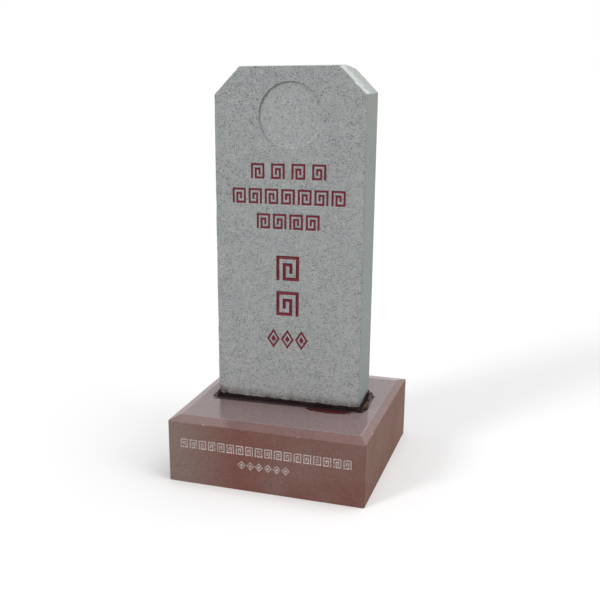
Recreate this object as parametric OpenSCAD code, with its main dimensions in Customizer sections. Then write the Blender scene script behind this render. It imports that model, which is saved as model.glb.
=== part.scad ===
// Boundary marker stone: a granite stele with cut top corners, set by a hidden
// tenon into a square polished plinth, bedded and pointed with dark mortar.
// The marks on both stones are plain frets and lozenges, cut in and painted.
// Millimetres. Origin at the middle of the plinth's underside, +Z up, and the
// inscribed front faces -Y.

/* [Stele] */
// Width of the upright stone
stele_w = 450; // [400:5:490]
// Thickness of the upright stone, front to back
stele_t = 140; // [120:5:200]
// Height of the upright stone above its mortar joint
stele_h = 990; // [930:10:1300]
// How far each top corner is cut off, across and down
corner_cut = 78; // [20:1:110]

/* [Tenon under the stele] */
// Width of the tenon that stands in the plinth's socket
tenon_w = 260; // [160:5:320]
// Thickness of the tenon
tenon_t = 80; // [50:5:100]
// Length of the tenon below the stele's shoulder
tenon_l = 100; // [60:5:140]
// Radius of the tenon's upright corners
tenon_r = 14; // [4:1:20]

/* [Plinth] */
// Width of the plinth, left to right
plinth_w = 600; // [580:5:800]
// Depth of the plinth, front to back
plinth_d = 600; // [400:5:800]
// Height of the plinth
plinth_h = 200; // [190:5:320]
// Width of the sloping wash along the front and back of the top
wash_front = 48; // [10:1:80]
// Width of the sloping wash along the two sides of the top
wash_side = 26; // [5:1:28]
// How far the wash falls from the flat top to the outer edge
wash_drop = 8; // [2:1:25]
// Small flat on the plinth's upright corners
plinth_arris = 3; // [1:0.5:10]

/* [Mortar] */
// Thickness of the bed between the plinth and the stele's shoulder
joint_h = 10; // [4:1:20]
// Mortar between the tenon and the wall of its socket
sleeve_gap = 6; // [3:1:15]
// Mortar under the end of the tenon
pad_h = 8; // [3:1:20]
// How far the squeezed-out mortar reaches past the stele's front
bead_front = 3; // [2:1:20]
// How far it reaches past the stele's back
bead_back = 10; // [3:1:20]
// How far it reaches past the stele's sides
bead_side = 19; // [6:1:22]
// How far it climbs the stele above the joint
bead_rise = 2; // [1:0.5:10]
// Extra climb of the smear on the right side, towards the back
smear_rise = 18; // [0:1:30]
// Unevenness of the bead's toe, as a share of its reach
bead_wave = 0.3; // [0:0.05:0.4]

/* [Medallion] */
// Radius of the round sunk panel
medallion_r = 93; // [40:1:120]
// Its centre, right of the stele's centre line
medallion_x = 5; // [-20:1:20]
// Its centre below the stele's top
medallion_drop = 136; // [125:1:160]
// Depth of the sunk panel
medallion_depth = 6; // [2:0.5:15]

/* [Marks on the stele] */
// Width of a small fret
fret_w = 41; // [25:1:44]
// Height of a small fret
fret_h = 44; // [25:1:60]
// Width of a small fret's groove
fret_stroke = 6; // [3:0.2:7]
// Depth of the small grooves
fret_depth = 3; // [2:0.5:8]
// Frets in the first, second and third row
row_counts = [4, 7, 4];
// Spacing of the frets in the first row
first_pitch = 61.5; // [50:0.5:80]
// Spacing of the frets in the second and third rows
row_pitch = 50; // [46:0.5:56]
// Spacing of the three rows
row_step = 72.5; // [65:0.5:90]
// Middle of the first row below the stele's top
rows_drop = 292; // [280:1:320]
// Width of a large fret
large_w = 70; // [50:1:120]
// Height of a large fret
large_h = 74; // [50:1:90]
// Width of a large fret's groove
large_stroke = 9.5; // [6:0.5:12]
// Depth of the large grooves
large_depth = 5; // [2:0.5:10]
// Middle of the upper large fret below the stele's top
large_drop = 575; // [560:1:600]
// Spacing of the two large frets
large_step = 108; // [95:1:120]
// Lozenges in the lowest row
lozenge_count = 3; // [1:1:5]
// Width of a lozenge
lozenge_w = 40; // [25:1:44]
// Height of a lozenge
lozenge_h = 60; // [40:1:80]
// Width of a lozenge's outline
lozenge_stroke = 5.5; // [3:0.5:6]
// Stone left between a lozenge's outline and its core
lozenge_land = 5; // [3:0.5:6]
// Spacing of the lozenges
lozenge_pitch = 44; // [44:1:60]
// Middle of the lozenges below the stele's top
lozenge_drop = 794; // [780:1:830]

/* [Marks on the plinth] */
// Frets in the plinth's upper row
band_count = 18; // [3:1:18]
// Width of a plinth fret
band_w = 24; // [16:1:26]
// Height of a plinth fret
band_h = 28; // [18:1:34]
// Width of a plinth fret's groove
band_stroke = 3.8; // [2:0.2:4]
// Spacing of the plinth frets
band_pitch = 29.3; // [27:0.1:31]
// Middle of the upper row below the plinth's flat top
band_drop = 73; // [60:1:80]
// Lozenges in the plinth's lower row
chain_count = 6; // [1:1:12]
// Width of a plinth lozenge
chain_w = 25; // [18:1:26]
// Height of a plinth lozenge
chain_h = 27; // [18:1:34]
// Width of a plinth lozenge's outline
chain_stroke = 3; // [2:0.2:3.4]
// Stone left between a plinth lozenge's outline and its core
chain_land = 2.6; // [1:0.2:3]
// Spacing of the plinth lozenges
chain_pitch = 27; // [27:0.5:40]
// Middle of the lower row below the plinth's flat top
chain_drop = 119; // [110:1:140]
// Depth of the plinth's grooves
plinth_mark_depth = 2.5; // [2:0.5:6]

/* [Paint] */
// Thickness of the paint on the floor of each groove
paint_t = 1; // [0.5:0.1:1.5]
// Gap between the paint's edge and the wall of its groove
paint_gap = 0.1; // [0.05:0.05:0.3]

/* [Wear] */
// How deep the piece broken off the stele's top, at the back on the right, goes at the corner
spall_depth = 9; // [1:1:12]
// Knocks along the stele's front foot edge
chip_count = 9; // [0:1:14]
// Radius of the largest knock
chip_r = 16; // [6:1:22]
// How deep the largest knock bites into the edge
chip_bite = 5; // [1:0.5:8]
// How much smaller a knock may be, as a share of the largest
chip_spread = 0.45; // [0:0.05:0.6]
// Radius of the knock on each front corner of the foot
corner_chip_r = 22; // [10:1:28]
// How deep it bites into the corner
corner_bite = 7; // [2:0.5:9]

/* [Hidden] */
$fn = 96;

// Stacking heights
flat_top = plinth_h;
shoulder_z = flat_top + joint_h;
stele_top = shoulder_z + stele_h;
tenon_end = shoulder_z - tenon_l;
socket_floor = tenon_end - pad_h;

// Planes of the two inscribed faces
stele_face = -stele_t / 2;
plinth_face = -plinth_d / 2;

// Overlap that makes a cut run out through a face
over = 5;

// Centre line of a square spiral on a grid of equal steps
spiral_grid = 3;
spiral_steps = [[0, 0], [0, 3], [3, 3], [3, 0], [1, 0], [1, 2], [2, 2], [2, 1]];

function spiral(w, h) =
    [for (p = spiral_steps) [(p[0] / spiral_grid - 0.5) * w, (p[1] / spiral_grid - 0.5) * h]];

function heading(a, b) = (b - a) / norm(b - a);

function left_of(d) = [-d[1], d[0]];

// One edge of a band that follows a square-cornered path, side being 1 or -1
function band_edge(path, half, side) =
    let (last = len(path) - 1)
    [for (i = [0 : last])
        let (
            before = heading(path[max(i - 1, 0)], path[max(i, 1)]),
            after = heading(path[min(i, last - 1)], path[min(i + 1, last)]),
            ends = i == 0 ? -before : i == last ? after : [0, 0],
            across = i == 0 || i == last ? left_of(after) : left_of(before) + left_of(after)
        )
        path[i] + (ends + side * across) * half];

function reversed(list) = [for (i = [len(list) - 1 : -1 : 0]) list[i]];

// A square spiral groove of the given outer size
module fret(w, h, stroke, slack) {
    path = spiral(w - stroke, h - stroke);
    half = stroke / 2 - slack;
    polygon(concat(band_edge(path, half, 1), reversed(band_edge(path, half, -1))));
}

module rhombus(w, h, inset) {
    reach = w * h / 2 / norm([w, h]);
    k = (reach - inset) / reach;
    polygon([[k * w / 2, 0], [0, k * h / 2], [-k * w / 2, 0], [0, -k * h / 2]]);
}

// An outlined lozenge with a solid core
module lozenge(w, h, stroke, land, slack) {
    difference() {
        rhombus(w, h, slack);
        rhombus(w, h, stroke - slack);
    }
    rhombus(w, h, stroke + land + slack);
}

// A centred row of alternately mirrored frets
module fret_row(count, pitch, w, h, stroke, slack) {
    for (i = [0 : count - 1])
        translate([(i - (count - 1) / 2) * pitch, 0])
            mirror([i % 2, 0])
                fret(w, h, stroke, slack);
}

module lozenge_row(count, pitch, w, h, stroke, land, slack) {
    for (i = [0 : count - 1])
        translate([(i - (count - 1) / 2) * pitch, 0])
            lozenge(w, h, stroke, land, slack);
}

// The small frets and the lozenges on the stele's face
module small_marks(slack) {
    for (row = [0 : len(row_counts) - 1])
        translate([0, stele_top - rows_drop - row * row_step])
            fret_row(row_counts[row], row == 0 ? first_pitch : row_pitch, fret_w, fret_h,
                     fret_stroke, slack);
    translate([0, stele_top - lozenge_drop])
        lozenge_row(lozenge_count, lozenge_pitch, lozenge_w, lozenge_h, lozenge_stroke,
                    lozenge_land, slack);
}

// The two large frets on the stele's face
module large_marks(slack) {
    for (i = [0, 1])
        translate([0, stele_top - large_drop - i * large_step])
            mirror([i, 0])
                fret(large_w, large_h, large_stroke, slack);
}

module plinth_marks(slack) {
    translate([0, flat_top - band_drop])
        fret_row(band_count, band_pitch, band_w, band_h, band_stroke, slack);
    translate([0, flat_top - chain_drop])
        lozenge_row(chain_count, chain_pitch, chain_w, chain_h, chain_stroke, chain_land, slack);
}

// Stands a flat shape, drawn as x and z, in the plane at y and gives it a thickness towards -Y
module upright(y, thickness) {
    translate([0, y, 0])
        rotate([90, 0, 0])
            linear_extrude(thickness)
                children();
}

// Cuts a shape into a face to the given depth
module cut_into(face, depth) {
    upright(face + depth, depth + over) children();
}

// Lays paint on the floor of such a cut
module paint_in(face, depth) {
    upright(face + depth, paint_t) children();
}

module rounded_bar(w, t, r) {
    square([w - 2 * r, t], center = true);
    square([w, t - 2 * r], center = true);
    for (x = [-1, 1], y = [-1, 1])
        translate([x * (w / 2 - r), y * (t / 2 - r)])
            circle(r);
}

// The upright stone with its tenon, before any mark is cut
module stele_blank() {
    half = stele_w / 2;
    upright(stele_t / 2, stele_t)
        polygon([
            [-half, shoulder_z], [half, shoulder_z], [half, stele_top - corner_cut],
            [half - corner_cut, stele_top], [corner_cut - half, stele_top],
            [-half, stele_top - corner_cut]
        ]);
    translate([0, 0, tenon_end])
        linear_extrude(tenon_l + over)
            rounded_bar(tenon_w, tenon_t, tenon_r);
}

// Lean in degrees of the break at the back of the top: towards the back and towards the right
spall_lean = [-6.3, 14.6];
// Block that clears the broken piece away
spall_block = [200, 200, 40];

// The flat break across the corner where top, right cut and back meet
module crown_spall() {
    translate([stele_w / 2 - corner_cut, stele_t / 2, stele_top])
        rotate(spall_lean)
            translate([-spall_block[0] / 2, -spall_block[1] / 2, -spall_depth])
                cube(spall_block);
}

// Turns in degrees from one knock to the next that scatter their sizes and their places
chip_size_turn = 137;
chip_size_start = 40;
chip_place_turn = 211;
// How far a knock strays from its even place, as a share of their spacing
chip_stray = 0.3;
// Share of a slanting distance that goes each way on a 45 degree slant
slant = sqrt(0.5);

// Knocks along the lower front edge and one on each front corner
module foot_chips() {
    half = stele_w / 2;
    for (i = [0 : 1 : chip_count - 1]) {
        share = 1 - chip_spread + chip_spread * sin(chip_size_turn * i + chip_size_start);
        r = chip_r * share;
        away = (r - chip_bite * share) * slant;
        even = i + 0.5 + chip_stray * sin(chip_place_turn * i);
        translate([even / chip_count * stele_w - half, stele_face - away, shoulder_z - away])
            sphere(r);
    }
    corner_away = (corner_chip_r - corner_bite) * slant;
    for (side = [-1, 1])
        translate([side * (half + corner_away), stele_face - corner_away, shoulder_z])
            sphere(corner_chip_r);
}

module stele() {
    color("darkgray")
        difference() {
            stele_blank();
            translate([0, 0, stele_top - medallion_drop])
                cut_into(stele_face, medallion_depth)
                    translate([medallion_x, 0])
                        circle(medallion_r);
            cut_into(stele_face, fret_depth) small_marks(0);
            cut_into(stele_face, large_depth) large_marks(0);
            crown_spall();
            foot_chips();
        }
}

// Socket in the plinth, which the mortar fills round and under the tenon, drawn up past the top
module socket_space(above) {
    translate([0, 0, socket_floor])
        linear_extrude(flat_top - socket_floor + above)
            rounded_bar(tenon_w + 2 * sleeve_gap, tenon_t + 2 * sleeve_gap, tenon_r + sleeve_gap);
}

// Outline of the plinth seen along one axis: upright sides and a washed top
module washed_outline(w, wash) {
    half = w / 2;
    polygon([
        [-half, 0], [half, 0], [half, flat_top - wash_drop], [half - wash, flat_top],
        [wash - half, flat_top], [-half, flat_top - wash_drop]
    ]);
}

module plinth_plan() {
    x = plinth_w / 2;
    y = plinth_d / 2;
    c = plinth_arris;
    polygon([
        [c - x, -y], [x - c, -y], [x, c - y], [x, y - c],
        [x - c, y], [c - x, y], [-x, y - c], [-x, c - y]
    ]);
}

module plinth() {
    color("rosybrown")
        difference() {
            intersection() {
                upright(plinth_d / 2, plinth_d) washed_outline(plinth_w, wash_side);
                rotate([0, 0, 90])
                    upright(plinth_w / 2, plinth_w) washed_outline(plinth_d, wash_front);
                linear_extrude(flat_top) plinth_plan();
            }
            socket_space(over);
            cut_into(plinth_face, plinth_mark_depth) plinth_marks(0);
        }
}

// Stations round the stele's foot, each a point of its edge and the angle it faces
side_steps = 9;
end_steps = 5;
turn_steps = 4;
function side_run(from, to, facing, steps) =
    [for (i = [1 : steps - 1]) [from + (to - from) * i / steps, facing]];
function corner_run(at, facing) =
    [for (i = [0 : turn_steps]) [at, facing + 90 * i / turn_steps]];
foot_x = stele_w / 2;
foot_y = stele_t / 2;
foot_corners = [[foot_x, -foot_y], [foot_x, foot_y], [-foot_x, foot_y], [-foot_x, -foot_y]];
stations = concat(
    corner_run(foot_corners[0], -90),
    side_run(foot_corners[0], foot_corners[1], 0, end_steps),
    corner_run(foot_corners[1], 0),
    side_run(foot_corners[1], foot_corners[2], 90, side_steps),
    corner_run(foot_corners[2], 90),
    side_run(foot_corners[2], foot_corners[3], 180, end_steps),
    corner_run(foot_corners[3], 180),
    side_run(foot_corners[3], foot_corners[0], 270, side_steps)
);

// Two beats in degrees per station, and their shares, that make the toe uneven
toe_beats = [83, 147];
toe_shares = [0.6, 0.4];
toe_start = 60;
// The beat and the share that make its climb uneven
climb_beat = 111;
climb_start = 20;
climb_wave = 0.5;
// Where the smear is highest, as a share of the way from the middle of the side to the back
smear_back = 0.5;
// How far out and how far up the brow between toe and lip stands, as shares
brow_out = 0.8;
brow_up = 0.5;

// How far the toe reaches at a station, blended between the sides and made uneven
function toe_reach(i) =
    let (
        facing = stations[i][1],
        plain = bead_side * pow(cos(facing), 2)
            + (sin(facing) < 0 ? bead_front : bead_back) * pow(sin(facing), 2)
    )
    plain * (1 + bead_wave * (toe_shares[0] * sin(toe_beats[0] * i)
        + toe_shares[1] * sin(toe_beats[1] * i + toe_start)));

// How high the bead climbs, with the smear on the right side near the back
function climb(i) =
    let (
        p = stations[i][0],
        near = max(0, 1 - norm(p - [foot_x, foot_y * smear_back]) / foot_y)
    )
    bead_rise * (1 + climb_wave * sin(climb_beat * i + climb_start)) + smear_rise * near;

function bead_ring(share, rise_share) =
    [for (i = [0 : len(stations) - 1])
        let (
            p = stations[i][0],
            a = stations[i][1],
            out = toe_reach(i) * share,
            z = flat_top + (joint_h + climb(i)) * rise_share
        )
        [p[0] + out * cos(a), p[1] + out * sin(a), z]];

// The bead's upper edge, carried on just inside the stele's faces so that they cut it off cleanly
lip_inset = 2;
function within(v, limit) = max(-limit, min(limit, v));
function lip_ring(brow) =
    [for (i = [0 : len(stations) - 1])
        let (
            p = stations[i][0],
            a = stations[i][1],
            inner = [
                within(p[0], foot_x - 2 * lip_inset) + lip_inset * cos(a),
                within(p[1], foot_y - 2 * lip_inset) + lip_inset * sin(a)
            ],
            edge_z = shoulder_z + climb(i),
            slope = (edge_z - brow[i][2]) / norm([brow[i][0], brow[i][1]] - p)
        )
        [inner[0], inner[1], edge_z + slope * norm(inner - p)]];

// The bead's skirt carried on below the toe, so that the plinth's flat top cuts it off cleanly
skirt = 0.5;
function root_ring(toe, brow) = [for (i = [0 : len(toe) - 1]) toe[i] + (toe[i] - brow[i]) * skirt];

// The mound of mortar round the foot, closed over where the stele stands in it
module bead_form() {
    n = len(stations);
    brow = bead_ring(brow_out, brow_up);
    root = root_ring(bead_ring(1, 0), brow);
    lip = lip_ring(brow);
    points = concat(root, brow, lip, [[0, 0, flat_top - over], [0, 0, shoulder_z + 1]]);
    function wall(low, high) =
        [for (i = [0 : n - 1], half = [0, 1])
            let (j = (i + 1) % n)
            half == 0 ? [low + i, high + j, low + j] : [low + i, high + i, high + j]];
    polyhedron(points, concat(
        [for (i = [0 : n - 1]) [3 * n, i, (i + 1) % n]],
        wall(0, n),
        wall(n, 2 * n),
        [for (i = [0 : n - 1]) [3 * n + 1, 2 * n + (i + 1) % n, 2 * n + i]]
    ));
}

module bead_mound() {
    difference() {
        bead_form();
        linear_extrude(flat_top) square([plinth_w, plinth_d], center = true);
    }
}

module mortar_joint() {
    color("dimgray")
        difference() {
            union() {
                bead_mound();
                socket_space(joint_h / 2);
            }
            stele_blank();
        }
}

module front_paint() {
    color("firebrick") {
        paint_in(stele_face, fret_depth) small_marks(paint_gap);
        paint_in(stele_face, large_depth) large_marks(paint_gap);
    }
}

module plinth_paint() {
    color("mistyrose")
        paint_in(plinth_face, plinth_mark_depth) plinth_marks(paint_gap);
}

stele();
plinth();
mortar_joint();
front_paint();
plinth_paint();
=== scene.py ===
import math

import bmesh
import bpy
from mathutils import Matrix, Vector, noise


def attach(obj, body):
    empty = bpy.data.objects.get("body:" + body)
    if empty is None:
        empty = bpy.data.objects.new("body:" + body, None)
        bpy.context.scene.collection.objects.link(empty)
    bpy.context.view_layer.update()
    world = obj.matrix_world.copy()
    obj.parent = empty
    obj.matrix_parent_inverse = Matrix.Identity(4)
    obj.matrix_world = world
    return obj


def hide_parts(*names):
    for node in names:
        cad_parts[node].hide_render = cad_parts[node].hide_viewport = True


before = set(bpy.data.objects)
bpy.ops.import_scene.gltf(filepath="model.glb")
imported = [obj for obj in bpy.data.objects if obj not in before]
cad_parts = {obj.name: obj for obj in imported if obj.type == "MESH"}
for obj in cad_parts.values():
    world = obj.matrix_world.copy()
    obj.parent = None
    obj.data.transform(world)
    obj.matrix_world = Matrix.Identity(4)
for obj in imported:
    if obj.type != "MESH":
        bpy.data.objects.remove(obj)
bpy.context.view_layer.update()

print("stage: frame loaded")

mm = 0.001

# Camera and light

cameraSetup = {
    "place": (0.8014, -2.6574, 1.2080),  # metres, the plinth's underside is z = 0
    "yaw": 20.832,  # degrees to the left of straight ahead
    "pitch": 17.140,  # degrees down
    "roll": -0.809,
    "lens": 55.898,
    "shift": (0.1152, 0.0840),  # the photograph is an off-centre crop
    "clip": (0.05, 200),
}

lightSetup = {
    "roomLevel": 0.42,  # light from all round
    "lamps": {  # strength, softness in degrees, and the direction the light comes from
        "keyLamp": (1.30, 16, (-0.50, -0.75, 0.45)),
        "topLamp": (1.70, 50, (0.25, 0.05, 0.97)),
        "sideLamp": (0.60, 40, (0.90, -0.22, 0.42)),
    },
    "lampDistance": 4,
    "floorHalf": 60,
    "floorSeen": (0.86, 0.86, 0.86, 1),  # what the camera and reflections see
    "floorBounce": (0.34, 0.34, 0.35, 1),  # what it throws back as light
}


def placeCamera(setup):
    data = bpy.data.cameras.new("camera")
    data.lens = setup["lens"]
    data.shift_x, data.shift_y = setup["shift"]
    data.clip_start, data.clip_end = setup["clip"]
    camera = bpy.data.objects.new("camera", data)
    turn = Matrix.Rotation(math.radians(setup["yaw"]), 4, "Z")
    tip = Matrix.Rotation(math.radians(90 - setup["pitch"]), 4, "X")
    roll = Matrix.Rotation(math.radians(setup["roll"]), 4, "Z")
    camera.matrix_world = Matrix.Translation(setup["place"]) @ turn @ tip @ roll
    bpy.context.scene.collection.objects.link(camera)
    bpy.context.scene.camera = camera


# Node helpers

nodeSpacing = 190


def addNode(tree, kind, **settings):
    node = tree.nodes.new(kind)
    node.location = (len(tree.nodes) * nodeSpacing, 0)
    for name, value in settings.items():
        setattr(node, name, value)
    return node


def feed(tree, socket, value):
    if hasattr(value, "is_output"):
        tree.links.new(value, socket)
    else:
        socket.default_value = value


def maths(tree, operation, a, b=0.0, clamp=False):
    node = addNode(tree, "ShaderNodeMath", operation=operation, use_clamp=clamp)
    feed(tree, node.inputs[0], a)
    feed(tree, node.inputs[1], b)
    return node.outputs[0]


def plus(tree, a, b):
    return maths(tree, "ADD", a, b)


def minus(tree, a, b):
    return maths(tree, "SUBTRACT", a, b)


def times(tree, a, b):
    return maths(tree, "MULTIPLY", a, b)


def larger(tree, a, b):
    return maths(tree, "MAXIMUM", a, b)


def sizeOf(tree, a):
    return maths(tree, "ABSOLUTE", a)


def vectorMaths(tree, operation, a, b):
    node = addNode(tree, "ShaderNodeVectorMath", operation=operation)
    feed(tree, node.inputs[0], a)
    feed(tree, node.inputs["Scale" if operation == "SCALE" else 1], b)
    return node.outputs[0]


def scaled(tree, vector, factor):
    return vectorMaths(tree, "SCALE", vector, factor)


def ramp(tree, value, low, high, smooth=True):  # 0 at low, 1 at high
    interpolation = "SMOOTHSTEP" if smooth else "LINEAR"
    node = addNode(tree, "ShaderNodeMapRange", interpolation_type=interpolation)
    feed(tree, node.inputs["Value"], value)
    feed(tree, node.inputs["From Min"], low)
    feed(tree, node.inputs["From Max"], high)
    return node.outputs["Result"]


def blendColor(tree, factor, a, b, mode="MIX"):
    node = addNode(tree, "ShaderNodeMix", data_type="RGBA", blend_type=mode)
    feed(tree, node.inputs[0], factor)
    feed(tree, node.inputs[6], a)
    feed(tree, node.inputs[7], b)
    return node.outputs[2]


def noiseOf(tree, vector, waves, detail=2.0, roughness=0.5, output="Fac"):
    node = addNode(tree, "ShaderNodeTexNoise")
    feed(tree, node.inputs["Vector"], vector)
    feed(tree, node.inputs["Scale"], waves)
    node.inputs["Detail"].default_value = detail
    node.inputs["Roughness"].default_value = roughness
    return node.outputs[output]


def centredNoise(tree, vector, waves, detail=2.0, roughness=0.5):  # about 0, not about 0.5
    return minus(tree, noiseOf(tree, vector, waves, detail, roughness), 0.5)


def noiseShift(tree, vector, waves, reach):  # pushes a pattern about, to make it ragged
    shift = noiseOf(tree, vector, waves, output="Color")
    return scaled(tree, vectorMaths(tree, "SUBTRACT", shift, (0.5, 0.5, 0.5)), reach)


def cellsOf(tree, vector, scale, output):
    node = addNode(tree, "ShaderNodeTexVoronoi", feature="F1")
    feed(tree, node.inputs["Vector"], vector)
    feed(tree, node.inputs["Scale"], scale)
    return node.outputs[output]


def splitColor(tree, color):
    node = addNode(tree, "ShaderNodeSeparateColor")
    feed(tree, node.inputs[0], color)
    return node.outputs


def splitPlace(tree, coords):
    node = addNode(tree, "ShaderNodeSeparateXYZ")
    feed(tree, node.inputs[0], coords)
    return node.outputs


def newGroup(name, inputs, outputs):
    group = bpy.data.node_groups.new(name, "ShaderNodeTree")
    for label, kind, value in inputs:
        socket = group.interface.new_socket(label, in_out="INPUT", socket_type=kind)
        socket.default_value = value
    for label, kind in outputs:
        group.interface.new_socket(label, in_out="OUTPUT", socket_type=kind)
    return group, addNode(group, "NodeGroupInput").outputs, addNode(group, "NodeGroupOutput").inputs


def useGroup(tree, group, **values):
    node = addNode(tree, "ShaderNodeGroup", node_tree=group)
    for label, value in values.items():
        feed(tree, node.inputs[label], value)
    return node.outputs


def newMaterial(name, **constants):
    material = bpy.data.materials.new(name)
    material.use_nodes = True
    tree = material.node_tree
    tree.nodes.clear()
    shader = addNode(tree, "ShaderNodeBsdfPrincipled")
    output = addNode(tree, "ShaderNodeOutputMaterial")
    tree.links.new(shader.outputs[0], output.inputs[0])
    for label, value in constants.items():
        shader.inputs[label.replace("_", " ")].default_value = value
    coords = addNode(tree, "ShaderNodeTexCoord").outputs["Object"]
    return material, tree, shader.inputs, coords


def bumpFrom(tree, shader, height, strength, distance):
    node = addNode(tree, "ShaderNodeBump")
    node.inputs["Strength"].default_value = strength
    node.inputs["Distance"].default_value = distance
    feed(tree, node.inputs["Height"], height)
    tree.links.new(node.outputs["Normal"], shader["Normal"])


# Shared effects

colorSocket, floatSocket, vectorSocket = "NodeSocketColor", "NodeSocketFloat", "NodeSocketVector"

crystalShape = {  # lengths and waves are in crystals, whatever their size
    "outline": ((1.1, 1.4), (4.5, 0.45)),  # waves, and how far they push a crystal's outline
    "smallCells": 2.2,  # small crystals across a large one
    "largeShare": 0.6,
    "smallShare": 0.4,
    "cloud": (0.22, 4.0, 0.65),  # waves, detail, roughness
    "cloudShare": 1.6,
    "cloudEdge": (0.30, 0.70),
    "haze": 0.11,
    "speckleShare": 0.5,
    "tint": (1.0, 0.1, -1.0),  # from cool to warm
    "darkCrowd": (1.6, 1.2),  # dark crystals outside a cloud, and how many fewer inside
    "darkEdge": 0.7,
    "smallDark": 1.5,
    "largeDark": 0.75,
    "paleEdge": 0.04,
    "relief": (1.7, 3.0),  # waves, detail
    "reliefShares": (0.5, 0.8),  # of the crystals' own height and of the waves
}

grimeShape = {"detail": 5.0, "roughness": 0.62}

pitShape = {  # waves are in pits
    "outline": (0.9, 1.1),  # waves and push
    "rough": (2.4, 4.0, 0.6),  # waves, detail, roughness
    "dentShare": 0.8,
    "roughShare": 0.7,
    "hollow": (0.35, 0.05),  # distance from a pit's middle
}


def makeCrystalGrain(shape):
    group, given, result = newGroup(
        "crystalGrain",
        [
            ("Vector", vectorSocket, (0, 0, 0)),
            ("Crystals", floatSocket, 200.0),
            ("Base", colorSocket, (0.4, 0.4, 0.4, 1)),
            ("Dark", colorSocket, (0.1, 0.1, 0.1, 1)),
            ("Pale", colorSocket, (0.7, 0.7, 0.7, 1)),
            ("DarkShare", floatSocket, 0.14),
            ("PaleShare", floatSocket, 0.12),
            ("Contrast", floatSocket, 0.2),
            ("Warmth", floatSocket, 0.0),
        ],
        [("Color", colorSocket), ("Height", floatSocket), ("Flecks", floatSocket)],
    )
    spot = scaled(group, given["Vector"], given["Crystals"])
    pushed = spot
    for waves, reach in shape["outline"]:
        pushed = vectorMaths(group, "ADD", pushed, noiseShift(group, spot, waves, reach))
    # each crystal's three random values set its tone, whether it is dark, and whether it is pale
    large = splitColor(group, cellsOf(group, pushed, 1.0, "Color"))
    small = splitColor(group, cellsOf(group, pushed, shape["smallCells"], "Color"))
    cloud = noiseOf(group, spot, *shape["cloud"])

    shade = times(group, large[0], shape["largeShare"])
    shade = plus(group, shade, times(group, small[0], shape["smallShare"]))
    cloudy = times(group, minus(group, cloud, 0.5), shape["cloudShare"])
    shade = plus(group, minus(group, shade, 0.5), cloudy)
    gain = plus(group, times(group, shade, given["Contrast"]), 1.0)
    toned = scaled(group, given["Base"], gain)
    speckled = times(group, minus(group, small[2], 0.5), shape["speckleShare"])
    warm = plus(group, speckled, centredNoise(group, spot, shape["haze"]))
    tint = scaled(group, shape["tint"], times(group, warm, given["Warmth"]))
    toned = vectorMaths(group, "ADD", toned, tint)

    most, fewer = shape["darkCrowd"]
    crowd = ramp(group, cloud, *shape["cloudEdge"])
    darkShare = times(group, given["DarkShare"], minus(group, most, times(group, crowd, fewer)))
    darkEdge = times(group, darkShare, shape["darkEdge"])
    darkLarge = times(group, ramp(group, large[1], darkShare, darkEdge), shape["largeDark"])
    smallShare = times(group, darkShare, shape["smallDark"])
    darkSmall = ramp(group, small[1], smallShare, times(group, darkEdge, shape["smallDark"]))
    dark = larger(group, darkLarge, darkSmall)
    paleFrom = minus(group, 1.0, given["PaleShare"])
    pale = ramp(group, large[2], paleFrom, plus(group, paleFrom, shape["paleEdge"]))
    color = blendColor(group, pale, toned, given["Pale"])
    color = blendColor(group, dark, color, given["Dark"])

    crystalHeight, waveHeight = shape["reliefShares"]
    waves = times(group, noiseOf(group, spot, *shape["relief"]), waveHeight)
    feed(group, result["Color"], color)
    feed(group, result["Height"], plus(group, times(group, large[0], crystalHeight), waves))
    feed(group, result["Flecks"], dark)
    return group


def makeGrime(shape):
    group, given, result = newGroup(
        "grime",
        [
            ("Vector", vectorSocket, (0, 0, 0)),
            ("Patches", floatSocket, 12.0),
            ("Start", floatSocket, 0.5),
            ("Full", floatSocket, 0.7),
        ],
        [("Mask", floatSocket)],
    )
    broad = noiseOf(group, given["Vector"], given["Patches"], shape["detail"], shape["roughness"])
    feed(group, result["Mask"], ramp(group, broad, given["Start"], given["Full"]))
    return group


def makeHammerPits(shape):
    group, given, result = newGroup(
        "hammerPits",
        [
            ("Vector", vectorSocket, (0, 0, 0)),
            ("Pits", floatSocket, 330.0),
            ("Depth", floatSocket, 1.0),
        ],
        [("Height", floatSocket), ("Hollows", floatSocket)],
    )
    spot = scaled(group, given["Vector"], given["Pits"])
    strayed = vectorMaths(group, "ADD", spot, noiseShift(group, spot, *shape["outline"]))
    dents = cellsOf(group, strayed, 1.0, "Distance")
    rough = times(group, noiseOf(group, spot, *shape["rough"]), shape["roughShare"])
    height = plus(group, times(group, dents, shape["dentShare"]), rough)
    feed(group, result["Height"], times(group, height, given["Depth"]))
    feed(group, result["Hollows"], ramp(group, dents, *shape["hollow"]))
    return group


crystalGrain = makeCrystalGrain(crystalShape)
grime = makeGrime(grimeShape)
hammerPits = makeHammerPits(pitShape)
print("stage: shared effects made")


def patchesOf(tree, coords, patches, start, full, strength=1.0):
    mask = useGroup(tree, grime, Vector=coords, Patches=patches, Start=start, Full=full)["Mask"]
    return times(tree, mask, strength)


# Materials
# A patchy effect is given as its patches per metre, where in the noise it starts and is full,
# and its strength.

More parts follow.
